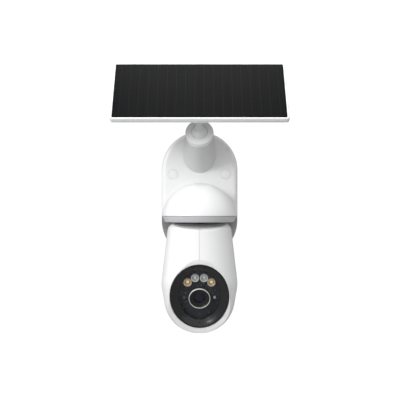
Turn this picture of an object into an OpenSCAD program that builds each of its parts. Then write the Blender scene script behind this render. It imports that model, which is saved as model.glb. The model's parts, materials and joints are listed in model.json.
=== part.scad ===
// Solar-powered pan and tilt security camera on a wall bracket.
// The origin is on the wall face, midway between the two wall screws.
// +Z is up, +X is to the right of someone facing the camera, and -Y points away from the wall.

/* [Wall bracket] */
// Width of the arched wall plate
plate_w = 92.5; // [86:0.5:116]
// How far the wall plate stands off the wall
plate_d = 15; // [12:0.5:22]
// Height of the plate's upper round end above the screw line
arch_up = 5.4; // [2:0.2:18]
// Distance between the two wall screws
screw_span = 64; // [58:1:78]
// Diameter of the clearance holes for the wall screws
screw_hole_d = 4.6; // [4:0.1:5.5]
// Diameter of the plugs that hide the wall screws
plug_d = 12; // [11:0.5:14]
// Thickness of the moulded walls
wall = 2.4; // [2:0.1:3]

/* [Hood] */
// Diameter of the round hood and of the housing behind it
hood_d = 89; // [86:0.5:108]
// Distance of the pan axis from the wall
hood_out = 82; // [80:1:100]
// Distance of the hood's centre below the screw line
hood_down = 56; // [52:1:75]
// Height of the hood's underside above its centre
rim_up = 6; // [5:0.5:8]
// Depth of the rear housing's underside below the hood's centre
housing_down = 22; // [16:1:26]

/* [Pan drive] */
// Diameter of the turntable's spindle
spindle_d = 18; // [16:0.5:20]
// Height of the turntable's tapered rim
turntable_h = 6.6; // [6:0.2:8]
// Teeth of the pan gear
pan_gear_teeth = 40; // [36:1:42]
// Teeth of the pan motor's pinion
pan_pinion_teeth = 12; // [11:1:14]

/* [Head] */
// Distance of the tilt axis below the hood's centre
tilt_drop = 44; // [44:0.5:60]
// Width of the head's shoulders
shoulder_w = 75; // [72:0.5:80]
// Greatest width of the head
head_w = 88.8; // [86:0.4:90]
// Distance from the tilt axis to the underside of the head
head_drop = 87.5; // [86:0.5:98]
// Diameter of the shaft that the head tilts on
shaft_d = 8; // [6:0.5:9]
// Thickness of the head's shells
head_wall = 2.5; // [2:0.1:2.8]

/* [Face] */
// Width of the black face
face_w = 68.8; // [60:0.2:70]
// Height of the black face
face_h = 80.8; // [74:0.2:82]
// Angle of the face below the horizontal
face_pitch = 22; // [18:1:26]
// Diameter of the bright ring round the lens
lens_ring_d = 25; // [22:0.5:26]

/* [Solar arm] */
// Diameter of the arm at the wall plate
arm_base_d = 41.8; // [38:0.2:44]
// Diameter of the arm at its tip
arm_tip_d = 33.2; // [31:0.2:35]
// Length of the arm along its axis, up to the locking ring
arm_len = 47; // [45:1:70]
// Angle of the arm above the horizontal
arm_rise = 26; // [15:1:32]
// Height of the arm's foot above the screw line
arm_up = 24.7; // [24:0.5:30]
// Diameter of the ball
ball_d = 20; // [18:0.5:21]

/* [Solar panel] */
// Width of the panel
panel_w = 208; // [150:1:300]
// Depth of the panel, measured along its slope
panel_l = 127; // [112:1:200]
// Thickness of the panel's edge
panel_t = 4; // [4:0.5:8]
// Angle of the panel from the horizontal
panel_tilt = 35; // [25:1:45]
// Distance from the ball to the panel's glass
stud_len = 42.5; // [41:0.5:60]
// Distance of the panel's centre up the slope from the stud
panel_shift = 29.5; // [20:0.5:34]
// Width of the pale rim round the cells
rim_w = 2.5; // [2:0.25:5]

/* [Hidden] */
$fn = 72;

// Clearances: radial gap of a running fit, gap of parts that are pushed together, gap of shells that lift apart.
run_gap = 0.05;
push_gap = 0.02;
lift_gap = 0.15;
far = 400;

plate_r = plate_w / 2;
hood_r = hood_d / 2;
plug_depth = 3.2;
boss_r = plug_d / 2 + 2;
sweep_r = hood_r + 3.3;
back_t = 2.4;

spindle_r = spindle_d / 2;
base_t = 2.5;
base_hole_r = 36;
base_flange_r = 39;
base_hub_h = 9;
turntable_gap = 0.6;
turntable_r = hood_r - 1.2;
gear_module = 1;
gear_w = 5;
pan_gear_z = rim_up + base_hub_h + 0.4;
pan_centres = gear_module * (pan_gear_teeth + pan_pinion_teeth) / 2;
motor_r = 12;
motor_h = 14;

// The head's outline: flat-topped shoulders, a wide middle and a rounder underside.
top_r = tilt_drop + turntable_h + turntable_gap - rim_up - 3.2;
shoulder_round = 10;
middle_drop = 28.5;
low_r = head_w / 2 - 2.9;
tilt_up = 12;
tilt_down = 38;
arm_from = 30;
arm_to = 52;
slot_half = 8.5;
shutter_r = top_r - head_wall - 2.5;
shutter_half = 10.5;
hub_r = 7;
shaft_r = shaft_d / 2;
tilt_gear_teeth = 28;
tilt_pinion_teeth = 10;
tilt_centres = gear_module * (tilt_gear_teeth + tilt_pinion_teeth) / 2;
tilt_pinion_angle = 20;
tilt_gear_x = 21.2;

face_out = 24;
face_down = 43;
lens_v = -4.6;
window_w = face_w - 21.2;
window_h = face_h - 17.8;
window_v = 0;
bezel_step = (face_h - 3 - window_h) / 3.2;
ring_r = lens_ring_d / 2;
barrel_r = ring_r - 2;
led_spots = [[-13.7, 14.6], [13.7, 14.6], [-5.2, 20.2], [5.2, 20.2]];
// The seal round the face surround stands this far out of it, in a groove of the shells.
seal_out = 0.7;
// The top of the head slopes down to the front, so that it clears the turntable when the face looks up.
nose_slope = tilt_up + 0.5;
nose_step = cos(3);
cup_r = 4.7;

cell_r = 9.2;
cell_h = 65;
cell_y = 15;
cell_top = hub_r + 0.6;
head_screw_spots = [[33, -20], [29.5, -62]];
// How far the head's skin leans in below its middle, and its radius there.
lean = asin((head_w / 2 - low_r) / (head_drop - low_r - middle_drop));
function skin_r(z) = head_w / 2 / cos(lean) + (z + middle_drop) * tan(lean);
port_turn = 38;
port_z = -42;
port_w = 22;
port_h = 11;
// The recess behind the plug starts where the skin is nearest to the pan axis.
port_face = sqrt(pow(skin_r(port_z - port_h / 2), 2) - pow(port_w / 2, 2)) - 2.6;
power_z = -36;
reset_z = -50;

ball_r = ball_d / 2;
ball_w = arm_len + 4;
ring_end = arm_len + 8;
socket_r = 13.35;
stem_r = 3.5;
knob_r = 8.2;
panel_spindle_r = 6;
inner_w = panel_w - 2 * rim_w;
inner_l = panel_l - 2 * rim_w;
back_cover_t = 2;
cell_cols = 6;
cell_rows = 4;

module at_hood() translate([0, -hood_out, -hood_down]) children();
module at_tilt() at_hood() translate([0, 0, -tilt_drop]) children();
// Along the face: x to the right, y up the face, z straight out of it.
module at_face() at_tilt() translate([0, -face_out, -face_down]) rotate([90 + face_pitch, 0, 0]) children();
// Along the solar arm: z from its foot towards its tip.
module at_arm() translate([0, -plate_d, arm_up]) rotate([90 - arm_rise, 0, 0]) children();
module at_ball() at_arm() translate([0, 0, ball_w]) rotate([panel_tilt + arm_rise - 90, 0, 0]) children();
module at_panel() at_ball() translate([0, panel_shift, stud_len]) children();
// Out through the back of the head: y straight out, z up.
module at_back(turn, z) at_tilt() translate([0, 0, z]) rotate([0, 0, turn]) children();

module block(x, y, z) {
    translate([x[0], y[0], z[0]]) cube([x[1] - x[0], y[1] - y[0], z[1] - z[0]]);
}
module out_bar(r, from, to) rotate([90, 0, 0]) translate([0, 0, from]) cylinder(r = r, h = to - from);
module side_bar(r, from, to) rotate([0, 90, 0]) translate([0, 0, from]) cylinder(r = r, h = to - from);
module back_bar(r, from, to) rotate([-90, 0, 0]) translate([0, 0, from]) cylinder(r = r, h = to - from);
module oval(w, h) polygon([for (a = [0:5:355]) [w / 2 * cos(a), h / 2 * sin(a)]]);
module rounded(w, l, r) {
    for (x = [-1, 1], y = [-1, 1]) translate([x * (w / 2 - r), y * (l / 2 - r)]) circle(r = r);
    square([w - 2 * r, l], center = true);
    square([w, l - 2 * r], center = true);
}
module tube(r, hole, h) {
    difference() {
        cylinder(r = r, h = h);
        translate([0, 0, -1]) cylinder(r = hole, h = h + 2);
    }
}
// The turn that puts a tooth of the small gear into the gap of the big one that faces it.
function mesh_turn(way, big, small) = way + 180 - ((floor(way * big / 360) + 0.5) * 360 / big - way) * big / small;
module gear(teeth, h) {
    root = gear_module * (teeth / 2 - 1.2);
    tip = gear_module * (teeth / 2 + 0.85);
    cylinder(r = root, h = h);
    linear_extrude(height = h)
        for (i = [0:teeth - 1]) rotate(i * 360 / teeth)
            polygon([[root - 0.5, -0.95], [tip, -0.32], [tip, 0.32], [root - 0.5, 0.95]] * gear_module);
}

// ---- Wall bracket and hood ----

// The plate's outline: two round ends, joined by straight sides, shrunk by inset.
module plate_outline(inset) {
    r = plate_r - inset;
    translate([0, arch_up]) circle(r = r);
    translate([0, -hood_down]) circle(r = r);
    translate([-r, -hood_down]) square([2 * r, hood_down + arch_up]);
}
module plate_slab(inset, from, to) {
    rotate([90, 0, 0]) translate([0, 0, from]) linear_extrude(height = to - from) plate_outline(inset);
}
// Plate, round housing and hood in one, shrunk by inset.
module body_form(inset) {
    plate_slab(inset, 0, plate_d - inset);
    difference() {
        union() {
            translate([0, 0, -hood_down]) out_bar(hood_r - inset, 0, hood_out);
            at_hood() sphere(r = hood_r - inset);
        }
        // The head's room: round under the hood, and flat under the housing.
        at_hood() translate([0, 0, -far]) cylinder(r = sweep_r + inset, h = far + rim_up + inset);
        at_hood() block([-far, far], [-far, hood_out - plate_d + inset], [-far, -housing_down + inset]);
    }
}
module at_screws() for (x = [-1, 1]) translate([x * screw_span / 2, 0, 0]) children();
module at_arm_screws() for (x = [-1, 1]) translate([x * arm_tip_d * 0.36, 0, arm_up]) children();
module body_shell() color("white") difference() {
    union() {
        difference() {
            body_form(0);
            body_form(wall);
            plate_slab(wall, -1, wall);
            at_hood() translate([0, 0, rim_up - 1]) cylinder(r = base_hole_r, h = wall + 2);
        }
        at_screws() out_bar(boss_r, back_t, plate_d);
    }
    at_screws() out_bar(plug_d / 2 + run_gap, plate_d - plug_depth, plate_d + 1);
    at_screws() out_bar(4.8, back_t + 3.6, plate_d);
    at_screws() out_bar(screw_hole_d / 2, -1, plate_d);
    at_arm_screws() out_bar(1.7, 0, plate_d + 1);
    translate([cover_screw_x, 0, cover_screw_z]) out_bar(2.5, plate_d - 1.6, plate_d + 1);
    translate([cover_screw_x, 0, cover_screw_z]) out_bar(1.25, 0, plate_d);
}
cover_screw_x = 0.735 * plate_r;
cover_screw_z = arch_up + 0.53 * plate_r;
back_screw_spots = [[-30, -34], [30, -34], [-26, 27], [20, 33]];
module at_back_screws() for (p = back_screw_spots) translate([p[0], 0, p[1]]) children();
module back_plate() color("gainsboro") difference() {
    union() {
        plate_slab(wall + lift_gap, 0, back_t);
        for (x = [-1, 1]) translate([x * 11, 0, -20]) out_bar(2, back_t, 5.8);
        at_back_screws() out_bar(3, back_t, plate_d - wall);
    }
    plate_slab_ring(wall + 3, wall + 6, -1, 1);
    at_screws() out_bar(screw_hole_d / 2, -1, plate_d);
    at_back_screws() out_bar(3.1, -1, 1.5);
    at_back_screws() out_bar(1.5 + push_gap, -1, plate_d - wall - 1);
}
module plate_slab_ring(outer, inner, from, to) difference() {
    plate_slab(outer, from, to);
    plate_slab(inner, from - 1, to + 1);
}
module wall_seal() color("dimgray") plate_slab_ring(wall + 3, wall + 6, 0, 1);
module back_plate_screws() color("silver") at_back_screws() {
    out_bar(3, 0.2, 1.5);
    out_bar(1.5, 1.5, plate_d - wall - 1.5);
}
module screw_plugs() color("white") at_screws() out_bar(plug_d / 2, plate_d - plug_depth, plate_d);
module arm_cover_screw() color("silver") translate([cover_screw_x, 0, cover_screw_z]) {
    out_bar(2.4, plate_d - 1.6, plate_d - 0.4);
    out_bar(1.25, plate_d - wall, plate_d - 1.6);
}

// ---- Solar arm ----

module arm_cone(inset, from, to) {
    slope = (arm_tip_d - arm_base_d) / 2 / arm_len;
    translate([0, 0, from])
        cylinder(r1 = arm_base_d / 2 + slope * from - inset, r2 = arm_base_d / 2 + slope * to - inset, h = to - from);
}
module arm_tube() color("gainsboro") difference() {
    intersection() {
        at_arm() arm_cone(0, -arm_base_d / 2, arm_len);
        block([-far, far], [-far, -plate_d], [-far, far]);
    }
    difference() {
        at_arm() arm_cone(3, -arm_base_d / 2, arm_len - 20);
        at_arm_screws() out_bar(4, 0, plate_d + 12);
    }
    at_arm() translate([0, 0, arm_len - 20 - 0.5]) cylinder(r = 9, h = 1);
    at_arm() translate([0, 0, arm_len - 14]) cylinder(r = socket_r + run_gap, h = 15);
    at_arm() translate([0, 0, arm_len - 21]) cylinder(r = 9, h = 8);
    at_arm_screws() out_bar(1.7, plate_d - 1, plate_d + 10);
}
module arm_screws() color("silver") at_arm_screws() {
    out_bar(1.7 - push_gap, plate_d - wall, plate_d + 9);
    out_bar(3.2, plate_d - wall - 2, plate_d - wall);
}

// ---- Pan drive ----

module hood_base() color("gray") at_hood() difference() {
    union() {
        translate([0, 0, rim_up]) cylinder(r = base_hole_r - lift_gap, h = wall);
        translate([0, 0, rim_up + wall]) cylinder(r = base_flange_r, h = base_t);
        translate([0, 0, rim_up]) cylinder(r = spindle_r + 4, h = base_hub_h);
    }
    cylinder(r = spindle_r + run_gap, h = far);
}
module pan_motor() color("silver") at_hood() translate([0, pan_centres, pan_gear_z + gear_w + 1.6]) difference() {
    cylinder(r = motor_r, h = motor_h);
    translate([0, 0, -1]) cylinder(r = 1.5 + run_gap, h = 6);
}
module motor_bracket() color("silver") at_hood() translate([0, pan_centres, 0]) {
    difference() {
        translate([0, 0, pan_gear_z + gear_w + 0.4]) linear_extrude(height = 1.2) rounded(42, 14, 4);
        cylinder(r = 3, h = far);
    }
    for (x = [-1, 1]) translate([x * 17, 0, rim_up + wall + base_t])
        cylinder(r = 3, h = pan_gear_z + gear_w + 0.4 - rim_up - wall - base_t);
}
module antenna_board() color("darkgreen") {
    block([-15, 15], [-6.8, -5.8], [-26, -14]);
    block([-11, 11], [-7.4, -6.8], [-23, -17]);
}
module turntable() color("lightgray") at_hood() difference() {
    union() {
        translate([0, 0, rim_up - turntable_gap - turntable_h])
            cylinder(r1 = turntable_r - 2.8, r2 = turntable_r, h = turntable_h);
        translate([0, 0, rim_up - turntable_gap - 1]) cylinder(r = spindle_r, h = pan_gear_z + gear_w + 1.4 - rim_up);
    }
    translate([0, 0, -far]) cylinder(r = 5, h = 2 * far);
    translate([0, 0, rim_up - turntable_gap - 3.6]) tube(turntable_r - 6, spindle_r + 4, 4);
}
module pan_gear() color("ivory") at_hood() translate([0, 0, pan_gear_z]) difference() {
    gear(pan_gear_teeth, gear_w);
    translate([0, 0, -1]) cylinder(r = spindle_r + push_gap, h = gear_w + 2);
}
module pan_pinion() color("ivory") at_hood() translate([0, pan_centres, pan_gear_z])
    rotate(mesh_turn(90, pan_gear_teeth, pan_pinion_teeth)) {
        gear(pan_pinion_teeth, gear_w);
        translate([0, 0, gear_w]) cylinder(r = 1.5, h = 5);
    }
module yoke_arm() color("gray") at_tilt() difference() {
    union() {
        side_bar(hub_r, -10, tilt_gear_x + gear_w + 0.8);
        rotate([90, 0, 90]) translate([0, 0, -slot_half + 1.5]) linear_extrude(height = 2 * slot_half - 3)
            polygon([
                [0, 0],
                [top_r * sin(arm_from), top_r * cos(arm_from)],
                [top_r * sin(arm_from), top_r + 0.8],
                [top_r * sin(arm_to) + 2, top_r + 0.8],
                [top_r * sin(arm_to), top_r * cos(arm_to)]]);
    }
    side_bar(shaft_r + run_gap, -far, far);
}
// A band round the tilt axis, between two angles behind the upright.
module tilt_band(outer, inner, half, from, to) rotate([0, 90, 0]) rotate([0, 0, 180 - to])
    rotate_extrude(angle = to - from) translate([inner, -half]) square([outer - inner, 2 * half]);
module slot_shutter() color("dimgray") at_tilt() difference() {
    tilt_band(shutter_r, shutter_r - 1, shutter_half, arm_from - 56, arm_to + 16);
    rotate([90, 0, 90]) translate([0, 0, -slot_half + 1.3]) linear_extrude(height = 2 * slot_half - 2.6)
        polygon([[0, 0], far * [sin(arm_from - 0.4), cos(arm_from - 0.4)], far * [sin(arm_to + 0.4), cos(arm_to + 0.4)]]);
}
module tilt_gear() color("ivory") at_tilt() translate([tilt_gear_x, 0, 0]) rotate([0, 90, 0]) difference() {
    gear(tilt_gear_teeth, gear_w);
    translate([0, 0, -1]) cylinder(r = hub_r + push_gap, h = gear_w + 2);
}

// ---- Head ----

module head_outline(inset) intersection() {
    hull() {
        translate([0, top_r - inset - 1]) square([top_r / 2, 1]);
        translate([shoulder_w / 2 - shoulder_round, top_r - shoulder_round]) circle(r = shoulder_round - inset);
        translate([0, -middle_drop]) circle(r = head_w / 2 - inset);
        translate([0, low_r - head_drop]) circle(r = low_r - inset);
    }
    translate([0, -far]) square([far, 2 * far]);
}
module head_top(r) rotate([90, 0, 90]) translate([0, 0, -far]) linear_extrude(height = 2 * far) {
    circle(r = r);
    polygon([[0, -1],
             [0, 0],
             r * nose_step * [-sin(nose_slope), cos(nose_slope)],
             r * nose_step * [-sin(nose_slope), cos(nose_slope)] - 2 * r * [cos(nose_slope), sin(nose_slope)],
             [-2 * r, -1]]);
}
module head_form(inset) {
    intersection() {
        rotate_extrude() head_outline(inset);
        union() {
            head_top(top_r - inset);
            translate([0, 0, -far]) cylinder(r = far, h = far);
        }
    }
}
module face_side(w) at_face() translate([-far, -far, w]) cube(2 * far);
module head_shell() difference() {
    union() {
        difference() {
            at_tilt() head_form(0);
            difference() {
                at_tilt() head_form(head_wall);
                face_side(-3);
            }
        }
        intersection() {
            at_tilt() head_form(0.5);
            union() {
                at_tilt() for (s = [-1, 1]) side_bar_between(8, s * 28, s * far);
                at_head_screws() side_bar(4, -far, far);
                at_back(-port_turn, port_z) block([-13, 13], [36, far], [-7.5, 7.5]);
            }
        }
    }
    face_side(0);
    at_face() translate([0, 0, -10]) linear_extrude(height = 20) oval(face_w + 2 * lift_gap, face_h + 2 * lift_gap);
    at_face() face_slab(face_w + 2 * (seal_out + lift_gap), face_h + 2 * (seal_out + lift_gap), -4.7, -3);
    at_tilt() side_bar(shaft_r + push_gap, -36.5, 36.5);
    at_tilt() tilt_band(60, 30, slot_half, arm_from - tilt_up - 1, arm_to + tilt_down + 2);
    at_head_screws() side_bar(1.5 + push_gap, -10, far);
    at_head_screws() side_bar(3, 8, far);
    at_back(-port_turn, port_z) {
        block([-port_w / 2, port_w / 2], [port_face, far], [-port_h / 2, port_h / 2]);
        block([-5, 4.2], [30, far], [-4, -0.6]);
        block([-6, 5.4], [30, far], [2, 3.4]);
    }
    at_back(port_turn, power_z) back_bar(4 + run_gap, 30, far);
    at_back(port_turn, reset_z) back_bar(1.5 + run_gap, 30, far);
    at_tilt() for (x = [-1, 1], i = [0:2]) translate([x * 2.2, 4 + 4 * i, -far]) cylinder(r = 0.8, h = far - 70);
}
module side_bar_between(r, a, b) side_bar(r, min(a, b), max(a, b));
module at_head_screws() at_tilt() for (p = head_screw_spots) translate([0, p[0], p[1]]) children();
module head_shell_left() color("white") intersection() {
    head_shell();
    block([-far, 0], [-far, far], [-far, far]);
}
module head_shell_right() color("white") intersection() {
    head_shell();
    block([0, far], [-far, far], [-far, far]);
}
module tilt_shaft() color("silver") at_tilt() side_bar(shaft_r, -36, 36);
module head_screws() color("silver") at_head_screws() {
    side_bar(1.5, -9, 8);
    side_bar(2.8, 8, 10.4);
}
module battery_cells() color("royalblue") at_tilt() for (x = [-1, 1])
    translate([x * (cell_r + 0.3), cell_y, -cell_top - cell_h]) {
        cylinder(r = cell_r, h = cell_h - 1);
        cylinder(r = 3, h = cell_h);
    }
module battery_tray() color("dimgray") at_tilt() {
    block([-20, 20], [2.6, 4.4], [-cell_top - cell_h - 0.4, -8]);
    block([-15, 15], [2.6, 19], [-cell_top - cell_h - 1.8, -cell_top - cell_h - 0.4]);
}
module tilt_motor() color("silver") at_tilt() rotate([-tilt_pinion_angle, 0, 0]) translate([0, -tilt_centres, 0])
    difference() {
        side_bar(10, 2, 20);
        side_bar(1 + run_gap, 14, 21);
    }
module tilt_pinion() color("ivory") at_tilt() rotate([-tilt_pinion_angle, 0, 0]) translate([0, -tilt_centres, 0])
    rotate([mesh_turn(270 - tilt_pinion_angle, tilt_gear_teeth, tilt_pinion_teeth) + tilt_pinion_angle, 0, 0])
    rotate([0, 90, 0]) {
        translate([0, 0, tilt_gear_x + 0.2]) gear(tilt_pinion_teeth, gear_w - 0.4);
        translate([0, 0, 15]) cylinder(r = 1, h = tilt_gear_x + 0.2 - 15);
    }
module speaker() color("black") at_tilt() translate([0, 8, -80.5]) {
    cylinder(r = 8, h = 1.5);
    translate([0, 0, 1.5]) cylinder(r = 5, h = 2.5);
}

// ---- Face ----

module face_slab(w, h, from, to) translate([0, 0, from]) linear_extrude(height = to - from) oval(w, h);
module face_bezel() color("black") at_face() difference() {
    face_slab(face_w, face_h, -6, 1);
    for (i = [0:3]) translate([0, window_v, 0])
        face_slab(window_w + i * bezel_step, window_h + i * bezel_step, -5 + i * 1.4, 3);
    translate([0, window_v, 0]) face_slab(window_w + 2.6, window_h + 2.6, -7, -4.7);
    translate([0, -face_h / 2 + 6, -7]) cylinder(r = 0.6, h = 9);
}
module face_window() color("black", 0.6) at_face() difference() {
    translate([0, window_v, 0]) face_slab(window_w + 2.4, window_h + 2.4, -6, -4.75);
    translate([0, lens_v, -7]) cylinder(r = ring_r + run_gap, h = 4);
}
module face_seal() color("dimgray") at_face() difference() {
    face_slab(face_w + 2 * seal_out, face_h + 2 * seal_out, -4.6, -3.1);
    face_slab(face_w + 0.2, face_h + 0.2, -5, -2);
}
module at_lens() at_face() translate([0, lens_v, 0]) children();
module lens_ring() color("silver") at_lens() translate([0, 0, -6.5]) tube(ring_r, barrel_r + 0.1, 2.9);
module lens_barrel() color("black") at_lens() difference() {
    translate([0, 0, -19.6]) cylinder(r = barrel_r, h = 14.6);
    translate([0, 0, -7]) cylinder(r1 = 6.8, r2 = 9.9, h = 2.1);
    translate([0, 0, -12]) cylinder(r = 6.6, h = 6);
    translate([0, 0, -20]) cylinder(r = 4.5, h = 10);
}
module lens_glass() color("slateblue") at_lens() {
    translate([0, 0, -11]) cylinder(r = 6.58, h = 3);
    translate([0, 0, -8]) intersection() {
        cylinder(r = 6.58, h = 3);
        translate([0, 0, -14]) sphere(r = 15.4);
    }
}
module lens_elements() color("lightblue") at_lens() for (w = [-16, -19]) translate([0, 0, w]) cylinder(r = 4.47, h = 1.4);
module sensor_board() color("darkgreen") at_lens() {
    translate([-12, -12, -21.6]) cube([24, 24, 1.6]);
    translate([-4, -4, -20]) cube([8, 8, 0.4]);
}
module led_board() color("white") at_face() difference() {
    face_slab(54, 66, -11.6, -10);
    translate([0, lens_v, -12]) cylinder(r = barrel_r + 0.3, h = 3);
}
module at_leds(from, to) at_face() for (i = [from:to]) translate([led_spots[i][0], led_spots[i][1], 0]) children();
module reflector_cups() color("silver") at_leds(0, 3) translate([0, 0, -10]) difference() {
    cylinder(r = cup_r, h = 3.6);
    translate([0, 0, -1]) cylinder(r = 1.8, h = 3);
    translate([0, 0, 1]) cylinder(r1 = 1.8, r2 = cup_r - 0.4, h = 2.7);
}
module white_leds() color("khaki") at_leds(0, 1) translate([0, 0, -10]) cylinder(r = 1.7, h = 1.4);
module infrared_leds() color("gainsboro") at_leds(2, 3) translate([0, 0, -10]) cylinder(r = 1.7, h = 1.4);
module light_sensor() color("gray") at_face() translate([17.6, -5, -10]) cylinder(r = 1.6, h = 3.4);
module status_light() color("tomato") at_face() translate([-18, -5.4, -10]) cylinder(r = 1.2, h = 3.4);
module microphone() color("silver") at_face() translate([0, -face_h / 2 + 6, -9]) cylinder(r = 2, h = 2.8);
module main_board() color("darkgreen") at_face() difference() {
    union() {
        translate([0, 2, 0]) face_slab(52, 48, -18.2, -16.6);
        translate([-22, 8, -16.6]) cube([10, 10, 1.5]);
        translate([12, 6, -16.6]) cube([8, 12, 1.5]);
    }
    translate([0, lens_v, -20]) cylinder(r = barrel_r + 0.4, h = 6);
}

// ---- Ports and buttons on the back of the head ----

module port_board() color("darkgreen") at_back(-port_turn, port_z) {
    block([-11, 11], [33, 34.6], [-7, 7]);
    block([-4.9, 4.1], [34.6, port_face - 0.1], [-3.9, -0.7]);
}
module memory_card() color("black") at_back(-port_turn, port_z) block([-5.8, 5.2], [34.8, port_face - 0.1], [2.2, 3.2]);
module port_plug() color("gray") intersection() {
    at_tilt() head_form(0);
    at_back(-port_turn, port_z) block([-port_w / 2 + 0.1, port_w / 2 - 0.1], [port_face + 0.1, far],
        [-port_h / 2 + 0.1, port_h / 2 - 0.1]);
}
module back_button(r, reach) {
    back_bar(r, 38, reach);
    back_bar(r + 1, 36.8, 38);
}
module button_board() color("darkgreen") at_back(port_turn, 0) {
    block([-6, 6], [33, 34.6], [reset_z - 4, power_z + 5]);
    for (z = [power_z, reset_z]) block([-3, 3], [34.6, 35.9], [z - 3, z + 3]);
}
module power_button() color("lightgray") at_back(port_turn, power_z) back_button(4, skin_r(power_z) + 0.3);
module reset_button() color("lightgray") at_back(port_turn, reset_z) back_button(1.5, skin_r(reset_z) - 0.4);

// ---- Ball joint and solar panel ----

module swivel_socket() color("dimgray") at_arm() difference() {
    translate([0, 0, arm_len - 13.6]) cylinder(r = socket_r, h = ball_w - 0.2 - (arm_len - 13.6));
    translate([0, 0, ball_w]) sphere(r = ball_r + run_gap);
}
module lock_ring() color("gainsboro") at_arm() difference() {
    translate([0, 0, arm_len + 0.3]) cylinder(r = arm_tip_d / 2 + 0.2, h = ring_end - arm_len - 0.3);
    translate([0, 0, arm_len]) cylinder(r = socket_r + 0.15, h = ball_w + 0.1 - arm_len);
    translate([0, 0, ball_w]) sphere(r = ball_r + 0.1);
    for (a = [0:20:340]) rotate(a) translate([arm_tip_d / 2 + 0.9, 0, arm_len]) cylinder(r = 1, h = 5.5);
}
module ball_stud() color("silver") at_ball() {
    sphere(r = ball_r);
    cylinder(r = stem_r, h = 18);
    translate([0, 0, 15]) cylinder(r1 = stem_r, r2 = knob_r, h = 3);
    translate([0, 0, 18]) difference() {
        cylinder(r = knob_r, h = stud_len - 14.3 - 18);
        for (a = [0:30:330]) rotate(a) translate([knob_r + 0.6, 0, -1]) cylinder(r = 1.2, h = far);
    }
    cylinder(r = panel_spindle_r, h = stud_len - panel_t - 3.4);
}
module panel_slab(w, l, r, from, to) translate([0, 0, from]) linear_extrude(height = to - from) rounded(w, l, r);
module panel_frame() color("whitesmoke") at_panel() difference() {
    panel_slab(panel_w, panel_l, 4, -panel_t, 0);
    panel_slab(inner_w, inner_l, 2, -2.2, 1);
    panel_slab(inner_w - 8, inner_l - 8, 2, -far, 0);
}
module panel_glass() color("black", 0.4) at_panel() panel_slab(inner_w - 0.3, inner_l - 0.3, 1.9, -1.1, -0.1);
module solar_cells() color("midnightblue") at_panel() {
    cell_w = (inner_w - 4) / cell_cols;
    cell_l = (inner_l - 4) / cell_rows;
    for (i = [0:cell_cols - 1], j = [0:cell_rows - 1])
        translate([(i + 0.5) * cell_w - inner_w / 2 + 2, (j + 0.5) * cell_l - inner_l / 2 + 2, -1.65])
            cube([cell_w - 0.8, cell_l - 0.8, 1], center = true);
}
at_socket_y = -panel_shift;
box_l = 34;
box_w = 60;
box_y = 14;
box_h = 8;
module back_box(inset, from, to) translate([0, box_y, 0]) panel_slab(box_w - 2 * inset, box_l - 2 * inset, 4 - inset, from, to);
module panel_back() color("whitesmoke") at_panel() difference() {
    union() {
        panel_slab(inner_w - 8.3, inner_l - 8.3, 1.9, -panel_t, -2.2);
        panel_slab(panel_w - 1, panel_l - 1, 3.5, -panel_t - back_cover_t, -panel_t);
        back_box(0, -panel_t - back_cover_t - box_h, -panel_t);
    }
    back_box(2, -panel_t - back_cover_t - box_h + 2, -panel_t + 0.5);
    translate([0, at_socket_y, -panel_t - 3]) tube(13, 12 + lift_gap, 1.5);
    at_panel_screws() translate([0, 0, -far]) cylinder(r = 1.5, h = far - panel_t);
    translate([box_w / 2 - 3, box_y, -panel_t - back_cover_t - box_h / 2]) rotate([0, 90, 0]) cylinder(r = 3.5, h = 6);
}
module at_panel_screws() for (x = [-1, 1], y = [-1, 1]) translate([x * (panel_w / 2 - 12), y * (panel_l / 2 - 12), 0]) children();
module panel_screws() color("silver") at_panel() at_panel_screws() {
    translate([0, 0, -panel_t - back_cover_t]) cylinder(r = 1.5 - push_gap, h = back_cover_t);
    translate([0, 0, -panel_t - back_cover_t - 1.4]) cylinder(r = 2.8, h = 1.4);
}
module stud_socket() color("gainsboro") at_panel() translate([0, at_socket_y, -14]) difference() {
    union() {
        cylinder(r = 12, h = 14 - panel_t - back_cover_t);
        translate([0, 0, 14 - panel_t - back_cover_t - 2]) cylinder(r = 16, h = 2);
    }
    translate([0, 0, -1]) cylinder(r = panel_spindle_r + run_gap, h = 14 - panel_t - back_cover_t);
}
module panel_inlet() color("dimgray") at_panel() translate([box_w / 2 - 2, box_y, -panel_t - back_cover_t - box_h / 2])
    rotate([0, 90, 0]) difference() {
        union() {
            cylinder(r = 3.5 - push_gap, h = 2);
            translate([0, 0, 2]) cylinder(r = 3.9, h = 8);
        }
        translate([0, 0, 1]) cylinder(r = 2.6, h = 10);
    }

body_shell();
back_plate();
wall_seal();
back_plate_screws();
screw_plugs();
arm_cover_screw();
arm_tube();
arm_screws();
hood_base();
pan_motor();
motor_bracket();
antenna_board();
turntable();
pan_gear();
yoke_arm();
slot_shutter();
tilt_gear();
pan_pinion();
head_shell_left();
head_shell_right();
tilt_shaft();
face_bezel();
face_window();
face_seal();
lens_ring();
lens_barrel();
lens_glass();
lens_elements();
sensor_board();
led_board();
reflector_cups();
white_leds();
infrared_leds();
light_sensor();
status_light();
main_board();
battery_cells();
battery_tray();
tilt_motor();
speaker();
microphone();
head_screws();
port_board();
memory_card();
button_board();
tilt_pinion();
power_button();
reset_button();
port_plug();
lock_ring();
swivel_socket();
ball_stud();
panel_frame();
panel_back();
solar_cells();
panel_glass();
stud_socket();
panel_screws();
panel_inlet();
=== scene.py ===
import json
from math import cos, pi, radians, sin

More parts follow.
